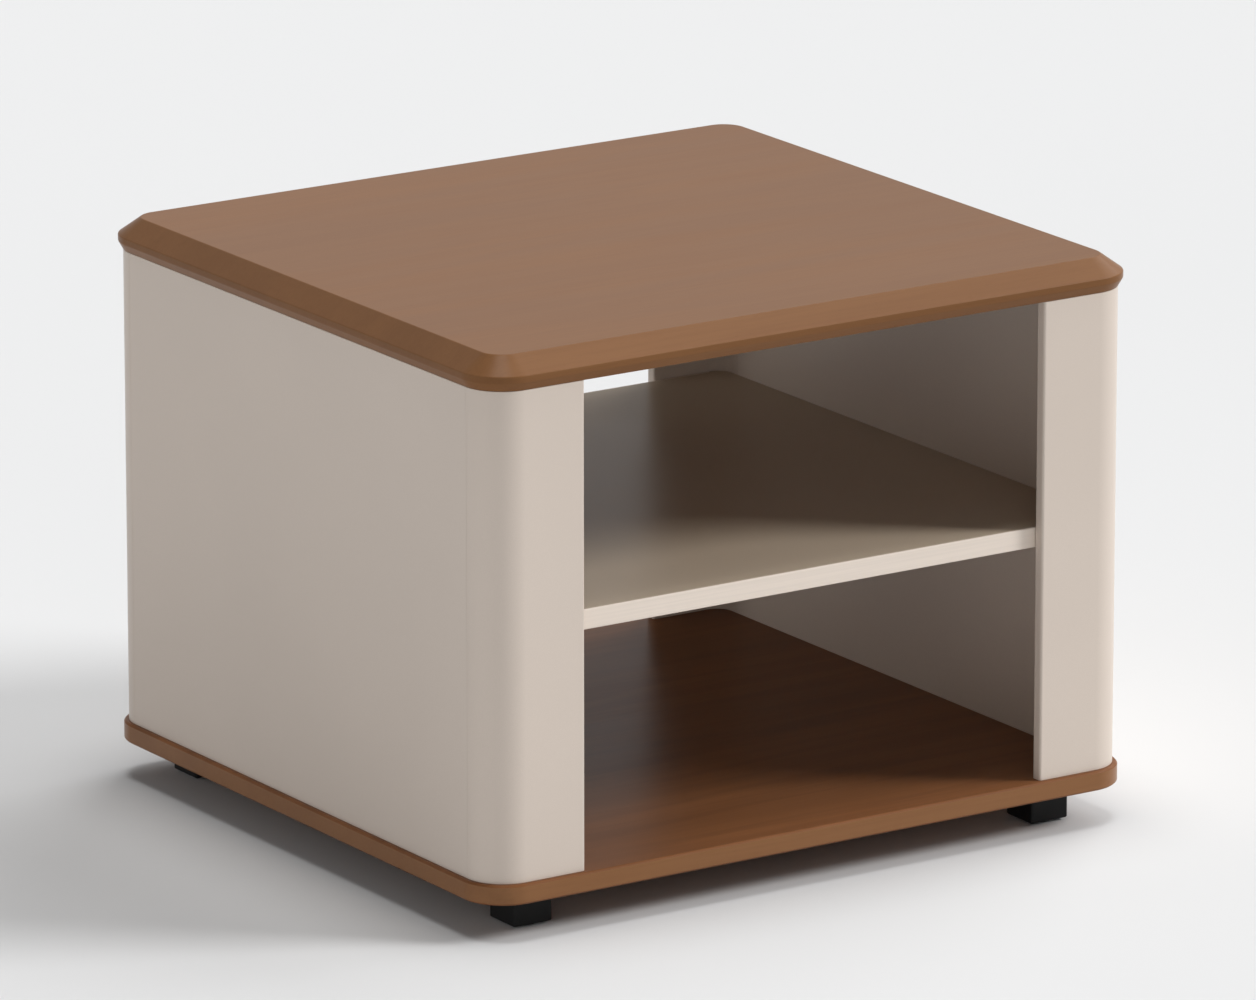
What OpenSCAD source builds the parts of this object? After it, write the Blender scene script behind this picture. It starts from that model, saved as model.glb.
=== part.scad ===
// Low square coffee table: a bevelled wood-look top and bottom panel, two side units with
// rounded corner posts that turn in at the front and the back, one fixed shelf and four block feet.
// The table is open at the front and at the back.
// Origin: centre of the footprint, on the floor. +X to the right, +Y to the back, +Z up.

/* [Overall] */
// Width over the top panel
table_w = 600; // [520:10:800]
// Depth over the top panel
table_d = 560; // [480:10:760]
// Height from the floor to the top face
table_h = 455; // [420:5:560]

/* [Top panel] */
// Thickness of the top panel
top_t = 25; // [22:1:32]
// How far the top panel stands out past the sides
top_overhang = 4; // [2:0.5:8]
// Width of the upper bevel, seen from above
bevel_run = 18; // [8:1:24]
// Height of the upper bevel
bevel_drop = 13; // [6:0.5:14]
// Height of the lower bevel, which runs in to the face of the sides
under_drop = 7; // [3:0.5:8]

/* [Bottom panel] */
// Thickness of the bottom panel
bottom_t = 16; // [15:1:25]
// How far the bottom panel stands out past the sides
bottom_overhang = 4; // [2:0.5:8]
// Size of the small bevel on both edges of the bottom panel
bottom_arris = 1.5; // [0.5:0.5:3]

/* [Side units] */
// Thickness of the side boards
side_t = 18; // [16:1:22]
// Thickness of the front and rear returns
return_t = 10; // [9:1:16]
// Outer radius of the corner posts
corner_r = 32; // [28:1:45]
// Width of the front and rear returns, from the outer face of the side
return_w = 85; // [60:5:140]
// Radius on the free edge of each return
return_edge_r = 2; // [1:0.5:4]
// Thickness of the tongues that join the posts to the side boards
tongue_t = 4; // [3:0.5:6]
// Depth of each tongue in each piece
tongue_depth = 8; // [5:0.5:10]
// Distance from each end of the side board to the end of its tongue
tongue_end = 40; // [30:5:80]

/* [Shelf] */
// Thickness of the shelf
shelf_t = 16; // [15:1:22]
// Clear height under the shelf
shelf_clear_h = 186; // [120:2:230]
// Gap between the front and rear edges of the shelf and the returns
shelf_gap = 1; // [0.5:0.5:3]
// Thickness of the strips on the front and rear edges of the shelf
lipping_t = 2; // [1:0.5:3]

/* [Feet] */
// Width and depth of a foot
foot_w = 35; // [30:1:60]
// Height of the block of a foot, without its glide
foot_h = 28; // [20:1:60]
// Radius on the upright edges of a foot
foot_edge_r = 2.5; // [1:0.5:6]
// Size of the bevel round the top and bottom of a foot
foot_arris = 0.8; // [0.4:0.2:2]
// Distance from the side of the bottom panel to a foot
foot_inset_x = 42; // [30:1:80]
// Distance from the front or back of the bottom panel to a foot
foot_inset_y = 31; // [28:1:80]
// Thickness of the glide under a foot
glide_t = 2; // [1:0.5:4]
// Diameter of the glide under a foot
glide_d = 26; // [20:1:28]
// Length of the plug that holds a glide in its foot
glide_plug_l = 5; // [3:0.5:7]

/* [Fittings] */
// Diameter of a cam
cam_d = 15; // [12:1:15]
// Depth of a cam in its board
cam_depth = 12.5; // [11:0.5:13]
// Distance from the edge of a board to the middle of its cams
cam_setback = 34; // [24:1:40]
// Distance from the front and back of the side units to the cams under the top
top_cam_y = 140; // [130:5:200]
// Distance from the front and back of the side units to the cams of the shelf
shelf_cam_y = 90; // [70:5:110]
// Diameter of the shaft of a cam bolt
bolt_d = 5; // [4:0.5:6]
// Diameter of the head of a cam bolt
bolt_head_d = 7; // [6.5:0.5:7.5]
// Depth of the threaded end of a cam bolt in its board
bolt_thread_l = 11; // [8:0.5:12]
// Height of the thread on a cam bolt, over its shaft
bolt_thread_h = 0.5; // [0.3:0.1:0.8]
// Gap between a cam and the shaft and head of its bolt
cam_gap = 0.6; // [0.3:0.1:1]
// Width of the cross recess in a cam
cam_cross_w = 1.8; // [1:0.2:2.4]
// Depth of the cross recess in a cam
cam_cross_depth = 2; // [1:0.5:3]
// Diameter of the cover cap of a cam
cap_d = 18; // [17:0.5:22]
// Thickness of the cover cap of a cam
cap_t = 1; // [0.8:0.2:2]
// Diameter of a dowel
dowel_d = 8; // [6:1:8]
// Length of a dowel
dowel_l = 30; // [25:1:35]
// Depth of a dowel in the face of a board
dowel_depth = 11; // [8:0.5:12]
// Distance from a cam of a side board or of the shelf to the dowel beside it
dowel_pitch = 32; // [24:1:48]
// Shank diameter of a connecting screw
screw_d = 5; // [4:0.5:7]
// Head diameter of a connecting screw
screw_head_d = 10; // [9:0.5:12]
// Length of a connecting screw
screw_l = 50; // [40:2:60]
// Size of the hexagon socket of a connecting screw, across its corners
screw_socket_d = 4; // [3:0.5:4.5]
// Distance from the front and back of the side units to the inner connecting screws
screw_y = 170; // [130:5:200]
// Distance from the front and back of the side units to the outer connecting screws
outer_screw_y = 60; // [60:5:90]
// Shank diameter of a foot screw
foot_screw_d = 4; // [3:0.5:5]
// Head diameter of a foot screw
foot_screw_head_d = 8; // [7:0.5:9]
// Height of the head of a foot screw
foot_screw_head_h = 2.8; // [2:0.2:3.6]
// Width of the cross recess in a foot screw
foot_screw_cross_w = 1; // [0.8:0.1:1.4]
// Depth of a foot screw in the bottom panel
foot_screw_depth = 12; // [8:1:13]
// Diameter of the hole that a foot screw goes into from below
foot_bore_d = 12; // [10:0.5:14]
// Depth of that hole, from the underside of a foot
foot_bore_depth = 16; // [10:1:18]

/* [Clearances] */
// Clearance of the shelf to the side units
shelf_fit = 0.3; // [0.2:0.1:1]
// Radial clearance of pins and fittings in their holes
pin_fit = 0.15; // [0.1:0.05:0.3]
// Clearance past the end of a pin in its hole
end_fit = 0.5; // [0.3:0.1:1]

/* [Colours] */
// Colour of the wood-look panels
wood_colour = "#96704f";
// Colour of the side units and the shelf
body_colour = "#c9beb2";
// Colour of the strips on the shelf
lipping_colour = "#e4d8c9";
// Colour of the feet
foot_colour = "#141414";
// Colour of the cover caps
cap_colour = "#c4b8ab";

/* [Hidden] */
$fn = 64;
// A cut starts this far outside the face that it goes into
cut = 1;

// Outline of the side units
body_w = table_w - 2 * top_overhang;
body_d = table_d - 2 * top_overhang;
bottom_w = body_w + 2 * bottom_overhang;
bottom_d = body_d + 2 * bottom_overhang;

// Heights of the horizontal faces
bottom_z = glide_t + foot_h;
side_z = bottom_z + bottom_t;
top_z = table_h - top_t;
side_h = top_z - side_z;
shelf_z = side_z + shelf_clear_h;

// Middle of the side boards
side_mid_x = body_w / 2 - side_t / 2;
// Length of a side board, between the posts
side_board_l = body_d - 2 * corner_r;
// Inner radius of the posts, and the shelf corner that follows it
inner_r = corner_r - side_t;
shelf_r = inner_r - shelf_fit;

// Outline of the shelf, which lies behind the returns, and the length of its edge strips
shelf_w = body_w - 2 * (side_t + shelf_fit);
shelf_d = body_d - 2 * (return_t + shelf_gap);
lipping_l = shelf_w - 2 * shelf_r;

// Places along the depth, measured from the middle
top_cam_place = body_d / 2 - top_cam_y;
shelf_cam_place = body_d / 2 - shelf_cam_y;
top_dowel_place = top_cam_place - dowel_pitch;
shelf_dowel_place = shelf_cam_place - dowel_pitch;
screw_place = body_d / 2 - screw_y;
outer_screw_place = body_d / 2 - outer_screw_y;
bottom_dowel_place = screw_place + dowel_pitch;
// The dowels of a post stand in its thick part, beside the side board
post_dowel_place = body_d / 2 - corner_r + dowel_d;

// Middle of the feet
foot_x = bottom_w / 2 - foot_inset_x - foot_w / 2;
foot_y = bottom_d / 2 - foot_inset_y - foot_w / 2;

// Cam bolt: distance from the face of its board to the middle of the head
bolt_reach = cam_setback;
bolt_bore_d = bolt_head_d + 2 * pin_fit;
// Length of the part of a dowel that goes into the edge of a board
dowel_edge_l = dowel_l - dowel_depth;

SIDES = [-1, 1];

// Repeats its children at the right and, as their mirror image, at the left
module both_sides() {
    for (sx = SIDES) scale_x(sx) children();
}

// Repeats its children at the back and, as their mirror image, at the front
module both_ends() {
    for (sy = SIDES) scale_y(sy) children();
}

module scale_x(s) {
    if (s < 0) mirror([1, 0, 0]) children();
    else children();
}

module scale_y(s) {
    if (s < 0) mirror([0, 1, 0]) children();
    else children();
}

// A level board with a profiled edge that runs round radiused corners.
// edge is a list of [distance in from the outline, height], from the bottom up.
module edged_board(w, d, r, edge) {
    count = len(edge);
    low = edge[0][1];
    high = edge[count - 1][1];
    across = function (half) concat(
        [for (p = edge) [half - p[0], p[1]]],
        [for (i = [count - 1 : -1 : 0]) [edge[i][0] - half, edge[i][1]]]
    );
    corner = concat([[0, low]], [for (p = edge) [r - p[0], p[1]]], [[0, high]]);
    rotate([90, 0, 0])
        linear_extrude(d - 2 * r, center = true)
            polygon(across(w / 2));
    rotate([90, 0, 90])
        linear_extrude(w - 2 * r, center = true)
            polygon(across(d / 2));
    for (sx = SIDES, sy = SIDES)
        scale_x(sx)
            scale_y(sy)
                translate([w / 2 - r, d / 2 - r, 0])
                    rotate_extrude(angle = 90) polygon(corner);
}

// Pins, at their own origin, pointing along +Z

// Dowel with bevelled ends. Its middle plane z = 0 is the face between the two boards.
module dowel() {
    bevel = dowel_d / 8;
    r = dowel_d / 2;
    translate([0, 0, -dowel_edge_l])
        rotate_extrude()
            polygon([
                [0, 0], [r - bevel, 0], [r, bevel],
                [r, dowel_l - bevel], [r - bevel, dowel_l], [0, dowel_l]
            ]);
}

module dowel_hole() {
    translate([0, 0, -dowel_edge_l - end_fit])
        cylinder(h = dowel_l + 2 * end_fit, d = dowel_d + 2 * pin_fit);
}

// Cam bolt: threaded end above z = 0, collar on the face, shaft and head below it
module cam_bolt() {
    shaft_r = bolt_d / 2;
    thread_r = shaft_r + bolt_thread_h;
    head_r = bolt_head_d / 2;
    collar_l = head_r;
    bevel = 2 * bolt_thread_h;
    rotate_extrude()
        polygon([
            [0, bolt_thread_l], [thread_r - bevel, bolt_thread_l], [thread_r, bolt_thread_l - bevel],
            [thread_r, 0], [head_r, 0], [head_r, -collar_l], [shaft_r, -collar_l],
            [shaft_r, -bolt_reach + head_r], [head_r, -bolt_reach + head_r / 2],
            [head_r, -bolt_reach - head_r / 2], [shaft_r, -bolt_reach - head_r],
            [0, -bolt_reach - head_r]
        ]);
}

module cam_bolt_holes() {
    cylinder(h = bolt_thread_l + end_fit, d = bolt_d + 2 * (bolt_thread_h + pin_fit));
    translate([0, 0, -bolt_reach])
        cylinder(h = bolt_reach, d = bolt_bore_d);
}

// Cam: a short drum that closes on the head of its bolt, seen with its driver face at z = 0.
// The bolt comes in along -X, in the middle of the board's thickness.
module cam(board_t) {
    slot_w = bolt_d + 2 * cam_gap;
    head_room_d = bolt_head_d + 2 * cam_gap;
    bolt_z = -board_t / 2;
    difference() {
        translate([0, 0, -cam_depth + end_fit])
            cylinder(h = cam_depth - end_fit, d = cam_d - 2 * pin_fit);
        // Way in for the head, and the narrower slot that holds it
        translate([-cam_d, 0, bolt_z])
            rotate([0, 90, 0]) cylinder(h = cam_d, d = head_room_d);
        translate([0, 0, bolt_z])
            rotate([0, 90, 0]) cylinder(h = head_room_d / 2, d = head_room_d);
        translate([-cam_d, -slot_w / 2, -cam_depth])
            cube([cam_d, slot_w, cam_depth + bolt_z]);
        // Cross recess for the driver
        for (turn = [0, 90])
            rotate([0, 0, turn])
                translate([-cam_d / 4, -cam_cross_w / 2, -cam_cross_depth])
                    cube([cam_d / 2, cam_cross_w, cam_cross_depth + cut]);
    }
}

module cam_pocket() {
    translate([0, 0, -cam_depth])
        cylinder(h = cam_depth + cut, d = cam_d);
}

module cam_cap() {
    bevel = cap_t / 2;
    rotate_extrude()
        polygon([
            [0, 0], [cap_d / 2, 0], [cap_d / 2, cap_t - bevel],
            [cap_d / 2 - bevel, cap_t], [0, cap_t]
        ]);
}

// Connecting screw with a countersunk head flush at z = 0, pointing up
module connecting_screw() {
    head_h = (screw_head_d - screw_d) / 2;
    r = screw_d / 2;
    tip_r = r / 3;
    difference() {
        rotate_extrude()
            polygon([
                [0, 0], [screw_head_d / 2, 0], [r, head_h],
                [r, screw_l - r], [tip_r, screw_l], [0, screw_l]
            ]);
        translate([0, 0, -cut])
            cylinder(h = cut + head_h, d = screw_socket_d, $fn = 6);
    }
}

module connecting_screw_hole() {
    head_h = (screw_head_d - screw_d) / 2;
    translate([0, 0, -cut])
        cylinder(h = cut, d = screw_head_d + 2 * pin_fit);
    cylinder(h = head_h, d1 = screw_head_d + 2 * pin_fit, d2 = screw_d + 2 * pin_fit);
    cylinder(h = screw_l + end_fit, d = screw_d + 2 * pin_fit);
}

// Foot screw: pan head in the foot's bore, thread up into the bottom panel. z = 0 is the panel's
// underside.
module foot_screw() {
    // Seat of the head, its low face and the bevel between that face and its side
    seat_z = foot_bore_depth - foot_h;
    low_z = seat_z - foot_screw_head_h;
    bevel = foot_screw_head_h / 2;
    head_r = foot_screw_head_d / 2;
    r = foot_screw_d / 2;
    tip_r = r / 3;
    difference() {
        rotate_extrude()
            polygon([
                [0, low_z], [head_r - bevel, low_z], [head_r, low_z + bevel], [head_r, seat_z],
                [r, seat_z], [r, foot_screw_depth - r], [tip_r, foot_screw_depth],
                [0, foot_screw_depth]
            ]);
        for (turn = [0, 90])
            rotate([0, 0, turn])
                translate([-head_r / 2, -foot_screw_cross_w / 2, low_z - cut])
                    cube([head_r, foot_screw_cross_w, bevel + cut]);
    }
}

module foot_screw_hole() {
    translate([0, 0, -foot_h - cut])
        cylinder(h = foot_h + cut + foot_screw_depth + end_fit, d = foot_screw_d + 2 * pin_fit);
}

// Where the fittings go

module at_feet() {
    both_sides() both_ends() translate([foot_x, foot_y, bottom_z]) children();
}

module at_top_dowels() {
    both_sides() both_ends() {
        translate([side_mid_x, top_dowel_place, top_z]) children();
        translate([side_mid_x, post_dowel_place, top_z]) children();
    }
}

// The dowels of the bottom panel point down
module at_bottom_dowels() {
    both_sides() both_ends() {
        translate([side_mid_x, bottom_dowel_place, side_z]) mirror([0, 0, 1]) children();
        translate([side_mid_x, post_dowel_place, side_z]) mirror([0, 0, 1]) children();
    }
}

module at_shelf_dowels() {
    both_sides() both_ends()
        translate([body_w / 2 - side_t, shelf_dowel_place, shelf_z + shelf_t / 2])
            rotate([0, 90, 0]) children();
}

module at_top_bolts() {
    both_sides() both_ends() translate([side_mid_x, top_cam_place, top_z]) children();
}

// The cams of the side boards lie in their inner faces, with their bolts from above
module at_top_cams() {
    both_sides() both_ends()
        translate([body_w / 2 - side_t, top_cam_place, top_z - cam_setback])
            rotate([0, -90, 0]) rotate([0, 0, 180]) children();
}

module at_shelf_bolts() {
    both_sides() both_ends()
        translate([body_w / 2 - side_t, shelf_cam_place, shelf_z + shelf_t / 2])
            rotate([0, 90, 0]) children();
}

// The cams of the shelf lie in its underside
module at_shelf_cams() {
    both_sides() both_ends()
        translate([body_w / 2 - side_t - cam_setback, shelf_cam_place, shelf_z])
            rotate([180, 0, 180]) children();
}

module at_connecting_screws() {
    both_sides() both_ends() {
        translate([side_mid_x, screw_place, bottom_z]) children();
        translate([side_mid_x, outer_screw_place, bottom_z]) children();
    }
}

// Slot for a tongue in the joint between a side board and a post
module tongue(fit) {
    length = side_h - 2 * tongue_end + 2 * fit;
    translate([side_mid_x, side_board_l / 2, side_z + tongue_end - fit])
        translate([-tongue_t / 2 - fit, -tongue_depth - fit, 0])
            cube([tongue_t + 2 * fit, 2 * (tongue_depth + fit), length]);
}

// The pieces

module top_panel() {
    land_z = top_t - bevel_drop;
    color(wood_colour)
        difference() {
            translate([0, 0, top_z])
                edged_board(table_w, table_d, corner_r + top_overhang, [
                    [top_overhang, 0], [0, under_drop], [0, land_z], [bevel_run, top_t]
                ]);
            at_top_dowels() dowel_hole();
            at_top_bolts() cam_bolt_holes();
        }
}

module bottom_panel() {
    color(wood_colour)
        difference() {
            translate([0, 0, bottom_z])
                edged_board(bottom_w, bottom_d, corner_r + bottom_overhang, [
                    [bottom_arris, 0], [0, bottom_arris],
                    [0, bottom_t - bottom_arris], [bottom_arris, bottom_t]
                ]);
            at_bottom_dowels() dowel_hole();
            at_connecting_screws() connecting_screw_hole();
            at_feet() foot_screw_hole();
        }
}

module side_board() {
    difference() {
        translate([body_w / 2 - side_t, -side_board_l / 2, side_z])
            cube([side_t, side_board_l, side_h]);
        at_top_dowels() dowel_hole();
        at_bottom_dowels() dowel_hole();
        at_shelf_dowels() dowel_hole();
        at_top_bolts() cam_bolt_holes();
        at_top_cams() cam_pocket();
        at_shelf_bolts() cam_bolt_holes();
        at_connecting_screws() connecting_screw_hole();
        both_ends() tongue(pin_fit);
    }
}

// Plan of a corner post, with the outer corner at the origin and the return along +X. It is as
// thick as the side board where it meets it, and its inner face curves into the thinner return.
module post_plan() {
    e = return_edge_r;
    inner_y = return_t + inner_r;
    difference() {
        intersection() {
            translate([corner_r, corner_r]) circle(corner_r);
            square(corner_r);
        }
        translate([corner_r, inner_y]) circle(inner_r);
        translate([side_t, inner_y]) square(corner_r);
    }
    translate([corner_r, 0]) square([return_w - corner_r - e, return_t]);
    translate([return_w - e, e]) square([e, return_t - 2 * e]);
    for (y = [e, return_t - e])
        translate([return_w - e, y]) circle(e);
}

// The rear right post. The others are its mirror images.
module post() {
    difference() {
        translate([body_w / 2, body_d / 2, side_z])
            rotate([0, 0, 180])
                linear_extrude(side_h) post_plan();
        at_top_dowels() dowel_hole();
        at_bottom_dowels() dowel_hole();
        tongue(pin_fit);
    }
}

module left_side_board() {
    color(body_colour) scale_x(-1) side_board();
}

module right_side_board() {
    color(body_colour) side_board();
}

module left_front_post() {
    color(body_colour) scale_x(-1) scale_y(-1) post();
}

module left_rear_post() {
    color(body_colour) scale_x(-1) post();
}

module right_front_post() {
    color(body_colour) scale_y(-1) post();
}

module right_rear_post() {
    color(body_colour) post();
}

module post_tongues() {
    color("burlywood") both_sides() both_ends() tongue(0);
}

// Shelf: it fills the width behind the returns
module shelf_board() {
    color(body_colour)
        difference() {
            translate([0, 0, shelf_z])
                edged_board(shelf_w, shelf_d, shelf_r, [[0, 0], [0, shelf_t]]);
            both_ends()
                translate([-lipping_l / 2, shelf_d / 2 - lipping_t, shelf_z - cut])
                    cube([lipping_l, lipping_t + cut, shelf_t + 2 * cut]);
            at_shelf_dowels() dowel_hole();
            at_shelf_bolts() cam_bolt_holes();
            at_shelf_cams() cam_pocket();
        }
}

module lipping() {
    color(lipping_colour)
        translate([-lipping_l / 2, shelf_d / 2 - lipping_t, shelf_z])
            cube([lipping_l, lipping_t, shelf_t]);
}

module shelf_front_lipping() {
    scale_y(-1) lipping();
}

module shelf_rear_lipping() {
    lipping();
}

// Foot: a block with a bore from below for its screw and its glide
module foot(sx, sy) {
    color(foot_colour)
        translate([sx * foot_x, sy * foot_y, bottom_z])
            difference() {
                translate([0, 0, -foot_h])
                    edged_board(foot_w, foot_w, foot_edge_r, [
                        [foot_arris, 0], [0, foot_arris], [0, foot_h - foot_arris], [foot_arris, foot_h]
                    ]);
                foot_screw_hole();
                translate([0, 0, -foot_h - cut])
                    cylinder(h = foot_bore_depth + cut, d = foot_bore_d);
            }
}

module front_left_foot() {
    foot(-1, -1);
}

module front_right_foot() {
    foot(1, -1);
}

module rear_left_foot() {
    foot(-1, 1);
}

module rear_right_foot() {
    foot(1, 1);
}

module foot_glides() {
    plug_r = foot_bore_d / 2 - pin_fit;
    bevel = glide_t / 4;
    color("dimgray")
        at_feet()
            translate([0, 0, -foot_h - glide_t])
                rotate_extrude()
                    polygon([
                        [0, 0], [glide_d / 2 - bevel, 0], [glide_d / 2, bevel],
                        [glide_d / 2, glide_t], [plug_r, glide_t],
                        [plug_r, glide_t + glide_plug_l], [0, glide_t + glide_plug_l]
                    ]);
}

module foot_screws() {
    color("silver") at_feet() foot_screw();
}

module connecting_screws() {
    color("silver") at_connecting_screws() connecting_screw();
}

module top_dowels() {
    color("burlywood") at_top_dowels() dowel();
}

module bottom_dowels() {
    color("burlywood") at_bottom_dowels() dowel();
}

module shelf_dowels() {
    color("burlywood") at_shelf_dowels() dowel();
}

module top_cams() {
    color("gray") at_top_cams() cam(side_t);
}

module top_cam_bolts() {
    color("silver") at_top_bolts() cam_bolt();
}

module top_cam_caps() {
    color(cap_colour) at_top_cams() cam_cap();
}

module shelf_cams() {
    color("gray") at_shelf_cams() cam(shelf_t);
}

module shelf_cam_bolts() {
    color("silver") at_shelf_bolts() cam_bolt();
}

module shelf_cam_caps() {
    color(cap_colour) at_shelf_cams() cam_cap();
}

top_panel();
bottom_panel();
left_side_board();
right_side_board();
left_front_post();
left_rear_post();
right_front_post();
right_rear_post();
post_tongues();
shelf_board();
shelf_front_lipping();
shelf_rear_lipping();
front_left_foot();
front_right_foot();
rear_left_foot();
rear_right_foot();
foot_glides();
foot_screws();
connecting_screws();
top_dowels();
bottom_dowels();
shelf_dowels();
top_cams();
top_cam_bolts();
top_cam_caps();
shelf_cams();
shelf_cam_bolts();
shelf_cam_caps();
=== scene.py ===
"""Finishes a low square coffee table and sets it on a pale studio floor.

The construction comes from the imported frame. The boards, posts, strips and feet are modelled again
here with eased edges and stand in for their plain solids; the fittings keep their solids.
"""

import math

import bmesh
import bpy
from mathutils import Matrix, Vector


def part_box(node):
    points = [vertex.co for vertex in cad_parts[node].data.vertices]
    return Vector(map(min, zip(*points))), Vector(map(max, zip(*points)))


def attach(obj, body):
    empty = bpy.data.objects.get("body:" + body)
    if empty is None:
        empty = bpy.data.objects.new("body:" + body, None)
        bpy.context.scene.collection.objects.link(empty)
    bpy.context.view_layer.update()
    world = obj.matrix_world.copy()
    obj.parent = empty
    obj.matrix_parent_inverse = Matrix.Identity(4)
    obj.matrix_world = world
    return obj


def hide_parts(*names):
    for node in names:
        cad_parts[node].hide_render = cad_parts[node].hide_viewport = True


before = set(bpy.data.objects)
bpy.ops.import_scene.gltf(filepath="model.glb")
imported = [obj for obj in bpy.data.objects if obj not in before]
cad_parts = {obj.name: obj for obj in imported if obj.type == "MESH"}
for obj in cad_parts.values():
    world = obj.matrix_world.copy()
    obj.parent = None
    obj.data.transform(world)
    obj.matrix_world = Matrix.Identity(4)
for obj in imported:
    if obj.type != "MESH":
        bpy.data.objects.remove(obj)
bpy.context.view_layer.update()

bl_info = {
    "name": "Coffee Table",
    "version": (1, 0, 0),
    "blender": (4, 5, 0),
    "location": "View3D > Sidebar > Table",
    "description": "Boards, posts, shelf, feet and studio for a low coffee table",
    "category": "Add Mesh",
}

BODY = "root"

# Sizes that the frame gives
TOP_LOW, TOP_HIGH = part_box("top_panel")
POST_LOW, POST_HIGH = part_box("left_front_post")
BOARD_LOW, BOARD_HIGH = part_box("left_side_board")
SIDE_T = BOARD_HIGH.x - BOARD_LOW.x
CORNER_R = POST_HIGH.y - POST_LOW.y
TOP_OVERHANG = POST_LOW.x - TOP_LOW.x
BOTTOM_OVERHANG = POST_LOW.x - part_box("bottom_panel")[0].x

POSTS = ("left_front_post", "left_rear_post", "right_front_post", "right_rear_post")
STRIPS = ("shelf_front_lipping", "shelf_rear_lipping")
FEET = ("front_left_foot", "front_right_foot", "rear_left_foot", "rear_right_foot")

# Each lamp: its strength, then in degrees its turn from +X towards -Y, its height and its angular size
LAMPS = {
    "Key": (2.01, 33.4, 34.0, 19.0),
    "Right fill": (1.32, -12.0, 45.0, 50.0),
    "Top fill": (1.08, 0.0, 90.0, 25.0),
    "Left fill": (0.47, 190.0, 12.0, 50.0),
    "Front fill": (0.31, 120.0, 12.0, 40.0),
}
LAMP_DISTANCE = 4.0
FLOOR_WIDTH = 40.0
FLOOR_ROUGHNESS = 0.90

# Limits and counts for the modelling steps
SAME_PLACE = 1e-5
MERGE_DISTANCE = 1e-6
UPRIGHT_SHARE = 0.9
FACING_SHARE = 0.99
BAND_SHARE = 0.5
FLAT_ANGLE = math.radians(1)
EASED_ANGLE = math.radians(25)
SMOOTH_ANGLE = math.radians(32)
HOLE_SIDES = 32
RETURN_EDGE_STEPS = 4
FOOT_CORNER_STEPS = 6
FINE_STEPS = 2

# Noise patterns: features to the metre along X, Y and Z, detail, distortion, and the range that is kept
PATTERNS = {
    "wood_figure": ((2.2, 14.0, 14.0), 3.0, 0.6, (0.30, 0.70)),
    "wood_streaks": ((3.5, 55.0, 55.0), 2.0, 0.8, (0.35, 0.65)),
    "grain_lines": ((14.0, 420.0, 420.0), 3.0, 0.0, (0.35, 0.75)),
    "wood_pores": ((110.0, 1500.0, 1500.0), 1.0, 0.0, (0.66, 0.78)),
    "coat_cloud": ((5.0, 5.0, 5.0), 2.0, 0.0, (0.30, 0.70)),
    "coat_speck": ((1300.0, 1300.0, 1300.0), 1.0, 0.0, (0.35, 0.65)),
    "strip_lines": ((8.0, 700.0, 700.0), 2.0, 0.0, (0.30, 0.70)),
    "mould_grit": ((1700.0, 1700.0, 1700.0), 2.0, 0.0, (0.30, 0.70)),
    "beech_flecks": ((900.0, 900.0, 160.0), 2.0, 0.0, (0.55, 0.75)),
    "metal_cloud": ((400.0, 400.0, 400.0), 3.0, 0.0, (0.30, 0.70)),
    "floor_cloud": ((0.7, 0.7, 0.7), 1.0, 0.0, (0.30, 0.70)),
}
COAT_WAVE = (160.0, 160.0, 160.0)

# How deep the reliefs are, in metres
GRAIN_DEPTH = 0.000003
PORE_DEPTH = 0.000004
SPRAY_DEPTH = 0.000008
FINE_DEPTH = 0.00001
GRIT_DEPTH = 0.00003

# How much of a darker tone shows in the streaks (times the figure), grain lines, pores and coat's specks
STREAK_SHARE = 2.5
LINE_SHARE = 0.14
PORE_SHARE = 0.20
SPECK_SHARE = 0.5
PORE_TONE = 0.72
SPECK_TONE = 0.965


# Sizes and colours that a user can change


def length(name, description, default):
    """A distance in metres, shown in the user's own unit."""
    return bpy.props.FloatProperty(
        name=name, description=description, default=default, min=0.0, unit="LENGTH", precision=5
    )


def colour(name, description, default):
    """A linear colour without alpha."""
    return bpy.props.FloatVectorProperty(
        name=name, description=description, default=default, min=0.0, max=1.0, size=3, subtype="COLOR"
    )


def factor(name, description, default, high=1.0):
    """A plain number from 0 to high."""
    return bpy.props.FloatProperty(name=name, description=description, default=default, min=0.0, max=high)


def angle(name, description, degrees):
    """An angle, given here in degrees."""
    return bpy.props.FloatProperty(
        name=name, description=description, default=math.radians(degrees), subtype="ANGLE"
    )


class TableSizes(bpy.types.PropertyGroup):
    """Sizes of the edges and corners."""

    bevel_run: length("Bevel run", "Width of the upper bevel of the top, seen from above", 0.018)
    bevel_drop: length("Bevel drop", "Height of the upper bevel of the top", 0.013)
    under_drop: length("Under-bevel drop", "Height of the lower bevel of the top", 0.007)
    top_ease: length("Top easing", "Radius that softens the creases of the top", 0.0007)
    bottom_arris: length("Base arris", "Small bevel on both edges of the bottom panel", 0.0015)
    board_ease: length("Board easing", "Radius on the edges of the coated boards", 0.0004)
    return_t: length("Return thickness", "Thickness of the front and rear returns", 0.010)
    return_edge_r: length("Return edge", "Radius on the free edge of each return", 0.002)
    shelf_corner_r: length("Shelf corner", "Radius of the shelf's corners inside the posts", 0.0137)
    strip_r: length("Strip edge", "Radius on the long edges of the shelf's edge strips", 0.0008)
    foot_edge_r: length("Foot edge", "Radius on the upright edges of a foot", 0.0025)
    foot_arris: length("Foot arris", "Bevel round the top and bottom of a foot", 0.0008)
    screw_d: length("Screw", "Shank diameter of a connecting screw", 0.005)
    hole_fit: length("Hole clearance", "Radial clearance of a fitting in its hole", 0.00015)
    corner_steps: bpy.props.IntProperty(
        name="Corner steps", description="Faces round each rounded corner", default=20, min=4, max=64
    )


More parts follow.
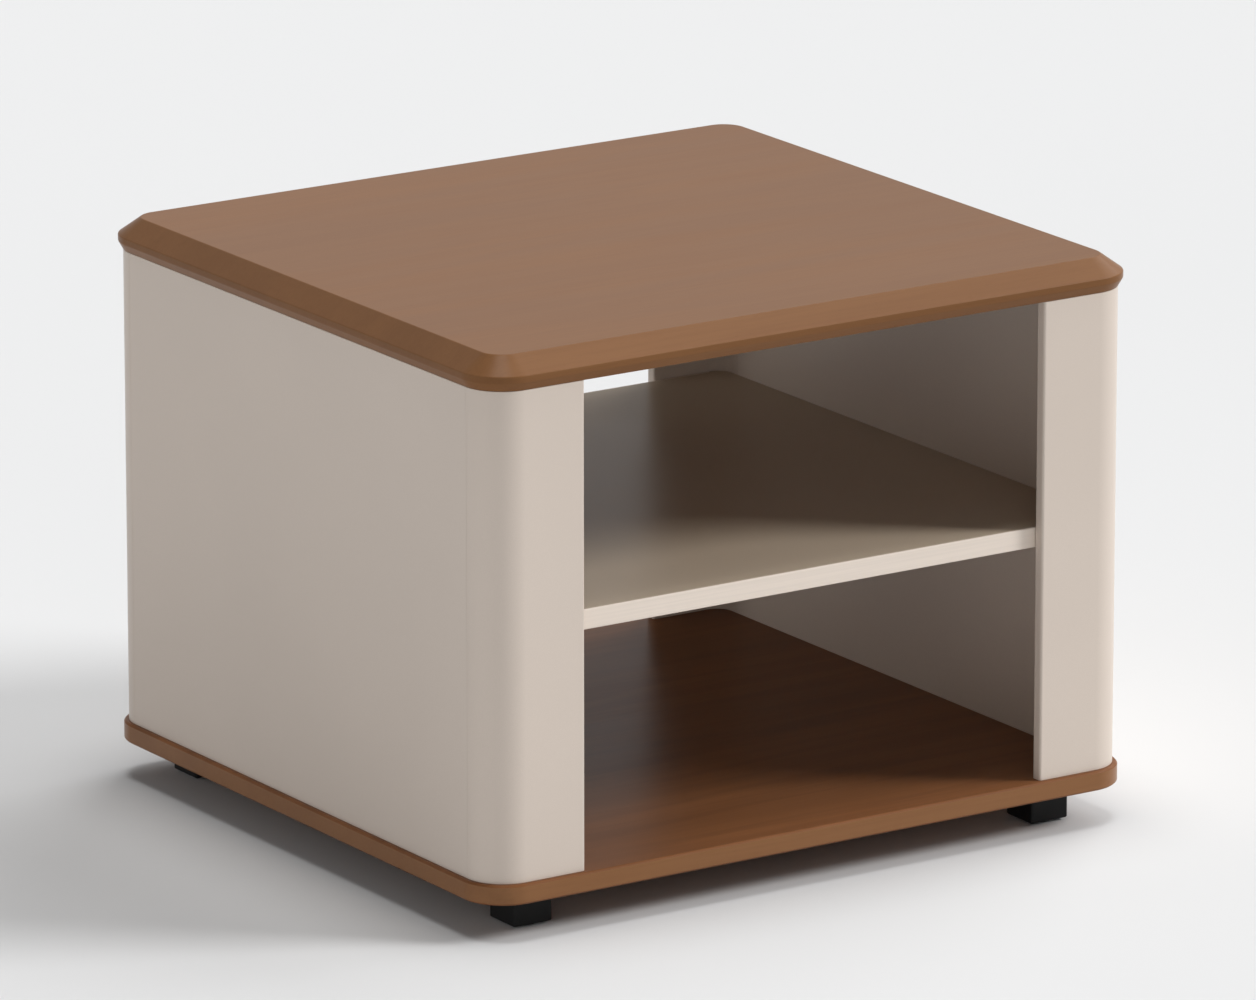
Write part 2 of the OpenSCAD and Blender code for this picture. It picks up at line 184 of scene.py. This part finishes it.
class TableFinish(bpy.types.PropertyGroup):
    """Colours of the finishes, linear; the shelf's coat holds painted shade and the base's edge band
    painted light.
    """

    wood: colour("Wood look", "Middle tone of the top's wood-look foil", (0.208, 0.0955, 0.038))
    base_wood: colour("Base wood look", "Middle tone of the bottom panel's foil", (0.206, 0.083, 0.032))
    wood_dark: colour("Wood grain", "Tone of the streaks and fine grain lines", (0.146, 0.057, 0.022))
    base_figure: factor("Base figure", "Strength of the figure on the bottom panel", 0.14)
    # Painted light: the bottom panel's upright edges get a lighter copy of the foil, standing in for the
    # light their front catches
    edge_painted_light: factor("Wood edge", "Lightness of the bottom panel's edge band against the foil", 1.22, 2.0)
    pale: colour("Coated board", "Warm pale grey-beige of the side units", (0.691, 0.600, 0.526))
    # Painted shade: the sides' coat made darker on the shelf, for the shade of the niche under the top
    shelf: colour("Shelf coat", "The same coat on the shelf, a little duller", (0.515, 0.422, 0.320))
    strip: colour("Edge strip", "Light strip on the shelf's edges", (0.830, 0.726, 0.634))
    foot: colour("Foot", "Black moulded plastic", (0.005, 0.005, 0.005))
    glide: colour("Glide", "Dark grey plastic of the glides", (0.030, 0.030, 0.030))
    beech: colour("Beech", "Bare beech of the dowels and tongues", (0.620, 0.430, 0.260))
    zinc: colour("Zinc", "Zinc plate on bolts and screws", (0.620, 0.610, 0.580))
    cast_zinc: colour("Cast zinc", "Dull die-cast zinc of the cams", (0.450, 0.450, 0.440))
    wood_roughness: factor("Wood roughness", "Roughness of the satin foil", 0.30)
    top_sheen: factor("Top gloss", "Specular level of the top's satin foil", 0.09)
    base_sheen: factor("Base gloss", "Specular level of the bottom panel's satin foil", 0.065)
    edge_sheen: factor("Edge gloss", "Specular level of the bottom panel's edge band", 0.20)
    pale_roughness: factor("Coat roughness", "Roughness of the coated boards", 0.32)
    pale_sheen: factor("Coat gloss", "Specular level of the coated boards", 0.12)


class StudioSettings(bpy.types.PropertyGroup):
    """Floor, lights and camera."""

    floor: colour("Floor", "Colour of the studio floor", (0.738, 0.741, 0.745))
    ambient: factor("Ambient light", "Strength of the soft light from all round", 0.12, 4.0)
    backdrop: factor("Backdrop", "Brightness that the camera and reflections see", 0.66, 1.0)
    light: factor("Lamps", "Share of the lamps' strength", 1.0, 4.0)
    camera_turn: angle("Camera turn", "Camera's turn to the left of the table's front", 33.444)
    camera_height: angle("Camera height", "Camera's angle above the floor", 15.493)
    camera_distance: length("Camera distance", "Distance from the camera to its target", 8.543)
    camera_target: bpy.props.FloatVectorProperty(
        name="Camera target", description="Point that the camera looks at", size=3,
        default=(0.00568, -0.00652, 0.24165), subtype="TRANSLATION", unit="LENGTH",
    )
    lens: bpy.props.FloatProperty(
        name="Lens", description="Focal length on a 36 mm sensor", default=313.2, min=1.0, unit="CAMERA"
    )


# Modelling


def block(name, low, high):
    """Adds a block between two corners and leaves it selected alone, with its place in its mesh."""
    low, high = Vector(low), Vector(high)
    bpy.ops.object.select_all(action="DESELECT")
    bpy.ops.mesh.primitive_cube_add(size=1.0, location=(low + high) / 2)
    bpy.context.object.scale = high - low
    return settle(name)


def settle(name):
    """Names the active object and puts its place, turn and size into its mesh."""
    piece = bpy.context.object
    piece.name = piece.data.name = name
    bpy.ops.object.transform_apply(location=True, rotation=True, scale=True)
    return piece


def work_on(piece):
    """Selects one piece alone and makes it active."""
    bpy.ops.object.select_all(action="DESELECT")
    piece.select_set(True)
    bpy.context.view_layer.objects.active = piece


def choose(piece, kind, wanted):
    """Enters edit mode with the edges or faces selected that pass the test."""
    work_on(piece)
    bpy.ops.object.mode_set(mode="EDIT")
    bpy.ops.mesh.select_mode(type=kind)
    bpy.ops.mesh.select_all(action="DESELECT")
    mesh = bmesh.from_edit_mesh(piece.data)
    for part in mesh.edges if kind == "EDGE" else mesh.faces:
        part.select_set(bool(wanted(part)))
    mesh.select_flush_mode()
    bmesh.update_edit_mesh(piece.data)


def leave_edit():
    bpy.ops.object.mode_set(mode="OBJECT")


def upright(edge):
    """True for an edge that stands upright."""
    a, b = (v.co for v in edge.verts)
    return abs(a.z - b.z) > UPRIGHT_SHARE * (a - b).length


def upright_at(x, y):
    """A test for the upright edge at one place in plan."""
    place = Vector((x, y))
    return lambda edge: upright(edge) and (edge.verts[0].co.xy - place).length < SAME_PLACE


def facing(direction):
    """A test for faces that look in a direction."""
    way = Vector(direction)
    return lambda face: face.normal.dot(way) > FACING_SHARE


def round_corners(piece, radius, steps, wanted=upright):
    """Rounds the chosen edges to a radius."""
    choose(piece, "EDGE", wanted)
    bpy.ops.mesh.bevel(offset=radius, segments=steps, affect="EDGES", clamp_overlap=True)
    leave_edit()


def draw_out(piece, wanted, way):
    """Extrudes the chosen faces along a vector."""
    choose(piece, "FACE", wanted)
    bpy.ops.mesh.extrude_region_move(TRANSFORM_OT_translate={"value": way})
    leave_edit()


def slope(piece, direction, run, rise):
    """Draws the face that looks in a direction in by run and out by rise, which leaves a bevel round it."""
    choose(piece, "FACE", facing(direction))
    bpy.ops.mesh.inset(thickness=run, depth=rise, use_even_offset=True)
    leave_edit()


def apply_modifier(piece, kind, **settings):
    """Adds a modifier with these settings and applies it."""
    work_on(piece)
    modifier = piece.modifiers.new(kind.title(), kind)
    for key, value in settings.items():
        setattr(modifier, key, value)
    bpy.ops.object.modifier_apply(modifier=modifier.name)


def ease(piece, width, steps=3):
    """Softens every crease sharper than a rounded corner's facets."""
    apply_modifier(
        piece, "BEVEL", width=width, segments=steps, limit_method="ANGLE",
        angle_limit=EASED_ANGLE, use_clamp_overlap=True, miter_outer="MITER_SHARP",
    )


def solids_of(node):
    """The lowest and highest corner of each separate solid in a CAD node."""
    mesh = bmesh.new()
    mesh.from_mesh(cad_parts[node].data)
    bmesh.ops.remove_doubles(mesh, verts=mesh.verts, dist=MERGE_DISTANCE)
    boxes, seen = [], set()
    for start in mesh.verts:
        if start in seen:
            continue
        seen.add(start)
        island, waiting = [start], [start]
        while waiting:
            for edge in waiting.pop().link_edges:
                for v in edge.verts:
                    if v not in seen:
                        seen.add(v)
                        island.append(v)
                        waiting.append(v)
        low = Vector(min(v.co[i] for v in island) for i in range(3))
        high = Vector(max(v.co[i] for v in island) for i in range(3))
        boxes.append((low, high))
    mesh.free()
    return boxes


def cylinder_between(low, high, fit):
    """Adds the cylinder that a box holds, larger all round by fit. The odd side is its length."""
    size = high - low
    along = max(range(3), key=lambda i: abs(2 * size[i] - size[i - 1] - size[i - 2]))
    radius = size[(along + 1) % 3] / 2 + fit
    turn = {0: (0, math.pi / 2, 0), 1: (math.pi / 2, 0, 0), 2: (0, 0, 0)}[along]
    bpy.ops.mesh.primitive_cylinder_add(
        vertices=HOLE_SIDES, radius=radius, depth=size[along] + 2 * fit,
        location=(low + high) / 2, rotation=turn,
    )
    return bpy.context.object


def reaches(piece, low, high):
    """True if a box overlaps the box of a piece."""
    corners = [Vector(c) for c in piece.bound_box]
    return all(
        low[i] < max(c[i] for c in corners) and high[i] > min(c[i] for c in corners) for i in range(3)
    )


def drill(piece, nodes, fit):
    """Cuts a round hole for each solid of these CAD nodes that reaches into the piece."""
    cutters = []
    bpy.context.view_layer.update()
    bpy.ops.object.select_all(action="DESELECT")
    for name in nodes:
        for low, high in solids_of(name):
            if reaches(piece, low, high):
                cutters.append(cylinder_between(low, high, fit))
    cut_away(piece, cutters)


def cut_away(piece, cutters):
    """Cuts the cutters out of the piece and deletes them."""
    for cutter in cutters:
        apply_modifier(piece, "BOOLEAN", operation="DIFFERENCE", solver="EXACT", object=cutter)
        bpy.data.objects.remove(cutter)


def finish_piece(piece, material, slot, *nodes):
    """Shades a piece, gives it its material, and puts it in the place of its CAD nodes."""
    work_on(piece)
    bpy.ops.object.mode_set(mode="EDIT")
    bpy.ops.mesh.select_all(action="SELECT")
    bpy.ops.mesh.remove_doubles(threshold=MERGE_DISTANCE)
    bpy.ops.mesh.normals_make_consistent(inside=False)
    bpy.ops.object.mode_set(mode="OBJECT")
    bpy.ops.object.shade_smooth_by_angle(angle=SMOOTH_ANGLE)
    apply_modifier(piece, "WEIGHTED_NORMAL", keep_sharp=True, weight=100)
    piece.data.materials.clear()
    piece.data.materials.append(material)
    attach(piece, BODY)
    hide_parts(*nodes)


def mirrored(piece, name, across_x, across_y):
    """A mirror image of a piece with its own mesh."""
    work_on(piece)
    bpy.ops.object.duplicate(linked=False)
    copy = bpy.context.object
    copy.scale = (-1 if across_x else 1, -1 if across_y else 1, 1)
    return settle(name)


# Materials


class Surface:
    """A node material under construction: its shader and the patterns that feed it."""

    def __init__(self, name, roughness, metallic=0.0, gloss=0.5):
        self.material = bpy.data.materials.new(name)
        self.material.use_nodes = True
        self.tree = self.material.node_tree
        self.shader = self.tree.nodes["Principled BSDF"]
        self.shader.inputs["Roughness"].default_value = roughness
        self.shader.inputs["Metallic"].default_value = metallic
        self.shader.inputs["Specular IOR Level"].default_value = gloss
        self.place = self.add("ShaderNodeTexCoord").outputs["Object"]

    def add(self, kind, inputs=None, **settings):
        """Adds a node, with settings on the node and values or links on its sockets."""
        made = self.tree.nodes.new(kind)
        for key, value in settings.items():
            setattr(made, key, value)
        for key, value in (inputs or {}).items():
            if isinstance(value, bpy.types.NodeSocket):
                self.tree.links.new(value, made.inputs[key])
            else:
                made.inputs[key].default_value = value
        return made

    def noise(self, stretch, detail=1.0, distortion=0.0):
        """Noise from 0 to 1, with this many features to the metre along each axis."""
        mapping = self.add("ShaderNodeMapping", {"Vector": self.place, "Scale": stretch})
        made = self.add(
            "ShaderNodeTexNoise",
            {"Vector": mapping.outputs[0], "Scale": 1.0, "Detail": detail, "Distortion": distortion},
        )
        return made.outputs[0]

    def spread(self, value, low, high, to_low=0.0, to_high=1.0):
        """Stretches a pattern from one range to another and holds it there."""
        made = self.add(
            "ShaderNodeMapRange",
            {"Value": value, "From Min": low, "From Max": high, "To Min": to_low, "To Max": to_high},
            interpolation_type="SMOOTHSTEP",
        )
        return made.outputs[0]

    def blend(self, amount, first, second):
        """Mixes two colours by a pattern."""
        made = self.add("ShaderNodeMix", data_type="RGBA")
        for index, value in ((0, amount), (6, first), (7, second)):
            if isinstance(value, bpy.types.NodeSocket):
                self.tree.links.new(value, made.inputs[index])
            else:
                made.inputs[index].default_value = (*value, 1.0) if index else value
        return made.outputs[2]

    def pattern(self, name):
        """One of the named patterns, with its kept range stretched to 0 to 1."""
        stretch, detail, distortion, (low, high) = PATTERNS[name]
        return self.spread(self.noise(stretch, detail, distortion), low, high)

    def ranged(self, pattern, start, end):
        """Stretches a pattern of 0 to 1 to another range."""
        return self.spread(pattern, 0.0, 1.0, start, end)

    def varied(self, tone, pattern, start, end):
        """A tone that runs from one share of itself to another with a pattern."""
        return self.blend(pattern, shade_of(tone, start), shade_of(tone, end))

    def relief(self, height, depth, below=None):
        """Turns a pattern into a bump of a real depth in metres, over another bump if given."""
        inputs = {"Height": height, "Distance": depth, "Strength": 1.0}
        if below is not None:
            inputs["Normal"] = below
        return self.add("ShaderNodeBump", inputs).outputs[0]

    def feed(self, **sockets):
        """Links patterns to the shader, such as Base_Color or Normal."""
        for key, value in sockets.items():
            self.tree.links.new(value, self.shader.inputs[key.replace("_", " ")])
        return self.material


def shade_of(tone, share):
    """A tone made lighter or darker by a share."""
    return tuple(min(1.0, c * share) for c in tone)


def wood_look(name, tone, finish, gloss, lightness=1.0, figure=0.04):
    """Satin wood-look foil: broad figure, streaks, fine grain lines and short pores, all along X. A
    lightness above 1 gives a lighter copy, used as painted light on the base's edge band.
    """
    surface = Surface(name, finish.wood_roughness, gloss=gloss)
    dark = shade_of(finish.wood_dark, lightness)
    broad = surface.pattern("wood_figure")
    streaks = surface.pattern("wood_streaks")
    lines = surface.pattern("grain_lines")
    pores = surface.pattern("wood_pores")
    ground = surface.varied(tone, broad, lightness * (1.0 - figure), lightness * (1.0 + figure))
    for pattern, share, darker in (
        (streaks, STREAK_SHARE * figure, dark),
        (lines, LINE_SHARE, dark),
        (pores, PORE_SHARE, shade_of(dark, PORE_TONE)),
    ):
        ground = surface.blend(surface.ranged(pattern, 0.0, share), ground, darker)
    rough = surface.ranged(broad, start=finish.wood_roughness - 0.01, end=finish.wood_roughness + 0.02)
    grain = surface.relief(lines, GRAIN_DEPTH)
    pitted = surface.relief(surface.ranged(pores, start=1.0, end=0.0), PORE_DEPTH, grain)
    return surface.feed(Base_Color=ground, Roughness=rough, Normal=pitted)


def coated(name, tone, finish):
    """Coated board: an even tone with a trace of cloudiness and a fine sprayed texture."""
    roughness = finish.pale_roughness
    surface = Surface(name, roughness, gloss=finish.pale_sheen)
    cloud = surface.pattern("coat_cloud")
    speck = surface.pattern("coat_speck")
    even = surface.varied(tone, cloud, start=0.985, end=1.015)
    specked = surface.blend(surface.ranged(speck, 0.0, SPECK_SHARE), even, shade_of(tone, SPECK_TONE))
    rough = surface.ranged(cloud, start=roughness - 0.02, end=roughness + 0.03)
    wave = surface.relief(surface.noise(COAT_WAVE), FINE_DEPTH)
    spray = surface.relief(speck, SPRAY_DEPTH, wave)
    return surface.feed(Base_Color=specked, Roughness=rough, Normal=spray)


def edge_strip(finish):
    """Light edge strip with faint draw lines along it."""
    surface = Surface("Edge_strip", roughness=0.40)
    drawn = surface.pattern("strip_lines")
    tone = surface.varied(finish.strip, drawn, start=1.0, end=0.95)
    return surface.feed(Base_Color=tone, Normal=surface.relief(drawn, FINE_DEPTH))


def moulded(name, tone, roughness, gloss=0.5):
    """Moulded plastic with the fine grain of a spark-eroded mould."""
    surface = Surface(name, roughness, gloss=gloss)
    grit = surface.pattern("mould_grit")
    grainy = surface.varied(tone, grit, start=0.85, end=1.25)
    return surface.feed(Base_Color=grainy, Normal=surface.relief(grit, GRIT_DEPTH))


def bare_beech(finish):
    """Bare beech with its short darker flecks."""
    surface = Surface("Bare_beech", roughness=0.70)
    fleck = surface.pattern("beech_flecks")
    tone = surface.varied(finish.beech, fleck, start=1.0, end=0.72)
    return surface.feed(Base_Color=tone, Normal=surface.relief(fleck, GRIT_DEPTH))


def metal(name, tone, roughness):
    """Plated or cast metal with a cloudy surface."""
    surface = Surface(name, roughness, metallic=1.0)
    cloud = surface.pattern("metal_cloud")
    cloudy = surface.varied(tone, cloud, start=0.88, end=1.06)
    rough = surface.ranged(cloud, start=roughness - 0.06, end=roughness + 0.08)
    return surface.feed(Base_Color=cloudy, Roughness=rough, Normal=surface.relief(cloud, FINE_DEPTH))


# Operators


class TABLE_OT_top(bpy.types.Operator):
    """Model the top panel with its bevel, land and under-bevel"""

    bl_idname = "table.top"
    bl_label = "Top panel"

    def execute(self, context):
        sizes, finish = context.scene.table_sizes, context.scene.table_finish
        low = (TOP_LOW.x, TOP_LOW.y, TOP_LOW.z + sizes.under_drop)
        high = (TOP_HIGH.x, TOP_HIGH.y, TOP_HIGH.z - sizes.bevel_drop)
        piece = block("top_board", low, high)
        round_corners(piece, CORNER_R + TOP_OVERHANG, sizes.corner_steps)
        slope(piece, (0, 0, 1), sizes.bevel_run, sizes.bevel_drop)
        slope(piece, (0, 0, -1), TOP_OVERHANG, sizes.under_drop)
        ease(piece, sizes.top_ease)
        drill(piece, ("top_dowels", "top_cam_bolts"), sizes.hole_fit)
        foil = wood_look("Wood_look_top", finish.wood, finish, finish.top_sheen)
        finish_piece(piece, foil, "wood_panel", "top_panel")
        return {"FINISHED"}


class TABLE_OT_bottom(bpy.types.Operator):
    """Model the bottom panel with its small bevels and its screw holes"""

    bl_idname = "table.bottom"
    bl_label = "Bottom panel"

    def execute(self, context):
        sizes, finish = context.scene.table_sizes, context.scene.table_finish
        low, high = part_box("bottom_panel")
        arris = sizes.bottom_arris
        piece = block("bottom_board", low + Vector((0, 0, arris)), high - Vector((0, 0, arris)))
        round_corners(piece, CORNER_R + BOTTOM_OVERHANG, sizes.corner_steps)
        slope(piece, (0, 0, 1), arris, arris)
        slope(piece, (0, 0, -1), arris, arris)
        ease(piece, sizes.board_ease, FINE_STEPS)
        drill(piece, ("bottom_dowels", "foot_screws"), sizes.hole_fit)
        cut_away(piece, self.screw_cutters(sizes))
        figure = finish.base_figure
        foil = wood_look("Wood_look_base", finish.base_wood, finish, finish.base_sheen, figure=figure)
        # The edge band is painted light: the foil made lighter on the upright faces; its own gloss is real
        band = wood_look("Wood_look_edge_painted_light", finish.wood, finish, finish.edge_sheen, finish.edge_painted_light)
        finish_piece(piece, foil, "wood_panel", "bottom_panel")
        piece.data.materials.append(band)
        # Upright faces take the painted-light copy of the foil
        for face in piece.data.polygons:
            face.material_index = int(abs(face.normal.z) < BAND_SHARE)
        return {"FINISHED"}

    def screw_cutters(self, sizes):
        """A shank and a countersunk head for each connecting screw."""
        cutters = []
        for low, high in solids_of("connecting_screws"):
            middle = (low + high) / 2
            head_r = (high.x - low.x) / 2 + sizes.hole_fit
            shank = Vector((sizes.screw_d / 2, sizes.screw_d / 2, 0))
            start = Vector((middle.x, middle.y, low.z - sizes.screw_d)) - shank
            end = Vector((middle.x, middle.y, high.z)) + shank
            cutters.append(cylinder_between(start, end, sizes.hole_fit))
            depth = head_r - sizes.screw_d / 2
            bpy.ops.mesh.primitive_cone_add(
                vertices=HOLE_SIDES, radius1=head_r + depth, radius2=head_r - depth, depth=2 * depth,
                location=(middle.x, middle.y, low.z),
            )
            cutters.append(bpy.context.object)
        return cutters


class TABLE_OT_sides(bpy.types.Operator):
    """Model the side boards and the corner posts with their returns"""

    bl_idname = "table.sides"
    bl_label = "Side units"

    def execute(self, context):
        sizes, finish = context.scene.table_sizes, context.scene.table_finish
        coat = coated("Pale_coat", finish.pale, finish)
        dowels = ("top_dowels", "bottom_dowels", "shelf_dowels")
        for side in ("left", "right"):
            name = side + "_side_board"
            piece = block(side + "_side", *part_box(name))
            ease(piece, sizes.board_ease, FINE_STEPS)
            drill(piece, (*dowels, "top_cam_bolts", "shelf_cam_bolts", "top_cams"), sizes.hole_fit)
            finish_piece(piece, coat, "pale_board", name)
        first = self.left_front_post(sizes)
        posts = [first]
        for name in POSTS[1:]:
            posts.append(mirrored(first, name + "_coated", "right" in name, "rear" in name))
        for name, piece in zip(POSTS, posts):
            ease(piece, sizes.board_ease, FINE_STEPS)
            drill(piece, ("top_dowels", "bottom_dowels"), sizes.hole_fit)
            finish_piece(piece, coat, "pale_board", name)
        return {"FINISHED"}

    def left_front_post(self, sizes):
        """The corner, drawn out to the side board and into the return, with its corners rounded."""
        low, high = POST_LOW, POST_HIGH
        inner = Vector((low.x + SIDE_T, low.y + sizes.return_t, high.z))
        piece = block("left_front_post_coated", low, inner)
        draw_out(piece, facing((0, 1, 0)), (0, CORNER_R, 0))
        looks = facing((1, 0, 0))
        draw_out(
            piece, lambda face: looks(face) and face.calc_center_median().y < inner.y,
            (high.x - inner.x, 0, 0),
        )
        choose(piece, "FACE", lambda face: True)
        bpy.ops.mesh.dissolve_limited(angle_limit=FLAT_ANGLE)
        leave_edit()
        round_corners(piece, CORNER_R - SIDE_T, sizes.corner_steps, upright_at(inner.x, inner.y))
        round_corners(piece, CORNER_R, sizes.corner_steps, upright_at(low.x, low.y))
        for y in (low.y, inner.y):
            round_corners(piece, sizes.return_edge_r, RETURN_EDGE_STEPS, upright_at(high.x, y))
        choose(piece, "FACE", lambda face: True)
        bpy.ops.mesh.bisect(
            plane_co=(0, high.y, 0), plane_no=(0, 1, 0), use_fill=True, clear_outer=True,
            threshold=SAME_PLACE,
        )
        leave_edit()
        return piece


class TABLE_OT_shelf(bpy.types.Operator):
    """Model the shelf behind the returns, and its edge strips"""

    bl_idname = "table.shelf"
    bl_label = "Shelf"

    def execute(self, context):
        sizes, finish = context.scene.table_sizes, context.scene.table_finish
        piece = block("shelf", *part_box("shelf_board"))
        round_corners(piece, sizes.shelf_corner_r, sizes.corner_steps // 2)
        for name in STRIPS:
            low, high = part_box(name)
            spare = Vector((0, high.y - low.y, high.y - low.y)) / 2
            shift = Vector((0, math.copysign(spare.y, low.y), 0))
            cut_away(piece, [block("strip_room", low + shift - spare, high + shift + spare)])
        ease(piece, sizes.board_ease, FINE_STEPS)
        drill(piece, ("shelf_dowels", "shelf_cam_bolts", "shelf_cams"), sizes.hole_fit)
        # The shelf's darker coat is painted shade from the top above it
        coat = coated("Shelf_coat_painted_shade", finish.shelf, finish)
        finish_piece(piece, coat, "pale_board", "shelf_board")
        strip_finish = edge_strip(finish)
        for name in STRIPS:
            strip = block(name.replace("lipping", "strip"), *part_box(name))
            ease(strip, sizes.strip_r)
            finish_piece(strip, strip_finish, "edge_strip", name)
        return {"FINISHED"}


class TABLE_OT_feet(bpy.types.Operator):
    """Model the four block feet"""

    bl_idname = "table.feet"
    bl_label = "Feet"

    def execute(self, context):
        sizes, finish = context.scene.table_sizes, context.scene.table_finish
        plastic = moulded("Foot_plastic", finish.foot, roughness=0.50, gloss=0.2)
        arris = Vector((0, 0, sizes.foot_arris))
        for name in FEET:
            low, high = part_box(name)
            piece = block(name + "_block", low + arris, high - arris)
            round_corners(piece, sizes.foot_edge_r, FOOT_CORNER_STEPS)
            slope(piece, (0, 0, 1), sizes.foot_arris, sizes.foot_arris)
            slope(piece, (0, 0, -1), sizes.foot_arris, sizes.foot_arris)
            ease(piece, sizes.foot_arris / 4, FINE_STEPS)
            drill(piece, ("foot_screws",), sizes.hole_fit)
            finish_piece(piece, plastic, "foot_plastic", name)
        return {"FINISHED"}


class TABLE_OT_fittings(bpy.types.Operator):
    """Finish the dowels, screws, cams, bolts, caps, tongues and glides"""

    bl_idname = "table.fittings"
    bl_label = "Fittings"

    def execute(self, context):
        finish = context.scene.table_finish
        beech = bare_beech(finish)
        plated = metal("Zinc_plate", finish.zinc, roughness=0.38)
        cast = metal("Cast_zinc", finish.cast_zinc, roughness=0.50)
        cap = moulded("Cap_plastic", shade_of(finish.pale, 0.95), roughness=0.42)
        glide = moulded("Glide_plastic", finish.glide, roughness=0.55)
        finishes = {
            "post_tongues": beech, "top_dowels": beech, "bottom_dowels": beech, "shelf_dowels": beech,
            "foot_screws": plated, "connecting_screws": plated,
            "top_cam_bolts": plated, "shelf_cam_bolts": plated,
            "top_cams": cast, "shelf_cams": cast,
            "top_cam_caps": cap, "shelf_cam_caps": cap,
            "foot_glides": glide,
        }
        for name, made in finishes.items():
            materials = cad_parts[name].data.materials
            materials.clear()
            materials.append(made)
        return {"FINISHED"}


class TABLE_OT_studio(bpy.types.Operator):
    """Set up the floor, the soft light and the camera"""

    bl_idname = "table.studio"
    bl_label = "Studio"

    def execute(self, context):
        studio = context.scene.table_studio
        self.floor(studio)
        self.world(context.scene, studio)
        self.lamps(context.scene, studio)
        self.camera(context.scene, studio)
        context.scene.view_settings.view_transform = "Standard"
        return {"FINISHED"}

    def floor(self, studio):
        """A wide level floor."""
        bpy.ops.object.select_all(action="DESELECT")
        bpy.ops.mesh.primitive_plane_add(size=FLOOR_WIDTH)
        plane = settle("studio_floor")
        surface = Surface("Studio_floor", FLOOR_ROUGHNESS, gloss=0.0)
        tone = surface.varied(studio.floor, surface.pattern("floor_cloud"), start=1.0, end=0.99)
        plane.data.materials.append(surface.feed(Base_Color=tone))

    def world(self, scene, studio):
        """Even light from all round, with the pale backdrop for the camera and for reflections."""
        world = bpy.data.worlds.new("Studio_world")
        world.use_nodes = True
        scene.world = world
        tree = world.node_tree
        tree.nodes.clear()
        path = tree.nodes.new("ShaderNodeLightPath")
        seen = None
        for name in ("Is Camera Ray", "Is Glossy Ray", "Is Transmission Ray"):
            total = tree.nodes.new("ShaderNodeMath")
            total.operation = "ADD"
            total.use_clamp = True
            tree.links.new(path.outputs[name], total.inputs[0])
            total.inputs[1].default_value = 0.0
            if seen is not None:
                tree.links.new(seen, total.inputs[1])
            seen = total.outputs[0]
        light = tree.nodes.new("ShaderNodeBackground")
        light.inputs["Strength"].default_value = studio.ambient
        backdrop = tree.nodes.new("ShaderNodeBackground")
        backdrop.inputs["Strength"].default_value = studio.backdrop
        for background in (light, backdrop):
            background.inputs["Color"].default_value = (1.0, 1.0, 1.0, 1.0)
        mix = tree.nodes.new("ShaderNodeMixShader")
        tree.links.new(seen, mix.inputs[0])
        tree.links.new(light.outputs[0], mix.inputs[1])
        tree.links.new(backdrop.outputs[0], mix.inputs[2])
        output = tree.nodes.new("ShaderNodeOutputWorld")
        tree.links.new(mix.outputs[0], output.inputs[0])

    def lamps(self, scene, studio):
        """Soft lamps far away: a key light from the right and fills round it."""
        for name, (strength, turn, height, size) in LAMPS.items():
            turn, height = math.radians(turn), math.radians(height)
            way = Vector((
                math.cos(turn) * math.cos(height), -math.sin(turn) * math.cos(height), math.sin(height)
            ))
            lamp = bpy.data.lights.new(name, "SUN")
            lamp.energy = strength * studio.light
            lamp.angle = math.radians(size)
            made = bpy.data.objects.new(name, lamp)
            made.location = way * LAMP_DISTANCE
            made.rotation_euler = way.to_track_quat("Z", "Y").to_euler()
            scene.collection.objects.link(made)

    def camera(self, scene, studio):
        """The camera at the photograph's viewing angle."""
        turn, height = studio.camera_turn, studio.camera_height
        back = Vector((
            -math.sin(turn) * math.cos(height), -math.cos(turn) * math.cos(height), math.sin(height)
        ))
        made = bpy.data.objects.new("Camera", bpy.data.cameras.new("Camera"))
        made.data.lens = studio.lens
        made.location = Vector(studio.camera_target) + back * studio.camera_distance
        made.rotation_euler = back.to_track_quat("Z", "Y").to_euler()
        scene.collection.objects.link(made)
        scene.camera = made


OPERATORS = (
    TABLE_OT_top,
    TABLE_OT_bottom,
    TABLE_OT_sides,
    TABLE_OT_shelf,
    TABLE_OT_feet,
    TABLE_OT_fittings,
    TABLE_OT_studio,
)
GROUPS = {"table_sizes": TableSizes, "table_finish": TableFinish, "table_studio": StudioSettings}


class TABLE_PT_panel(bpy.types.Panel):
    """Sizes, finishes and the operators that make each group of pieces"""

    bl_idname = "TABLE_PT_panel"
    bl_label = "Coffee Table"
    bl_space_type = "VIEW_3D"
    bl_region_type = "UI"
    bl_category = "Table"

    def draw(self, context):
        for operator in OPERATORS:
            self.layout.operator(operator.bl_idname)
        for name, group in GROUPS.items():
            column = self.layout.box().column()
            for key in group.__annotations__:
                column.prop(getattr(context.scene, name), key)


def register():
    for made in (*GROUPS.values(), *OPERATORS, TABLE_PT_panel):
        bpy.utils.register_class(made)
    for name, group in GROUPS.items():
        setattr(bpy.types.Scene, name, bpy.props.PointerProperty(type=group))


def unregister():
    for name in GROUPS:
        delattr(bpy.types.Scene, name)
    for made in (TABLE_PT_panel, *reversed(OPERATORS), *reversed(GROUPS.values())):
        bpy.utils.unregister_class(made)


def main():
    """Makes the table and its studio."""
    register()
    bpy.ops.table.top()
    bpy.ops.table.bottom()
    bpy.ops.table.sides()
    bpy.ops.table.shelf()
    bpy.ops.table.feet()
    bpy.ops.table.fittings()
    bpy.ops.table.studio()


if __name__ == "__main__":
    main()
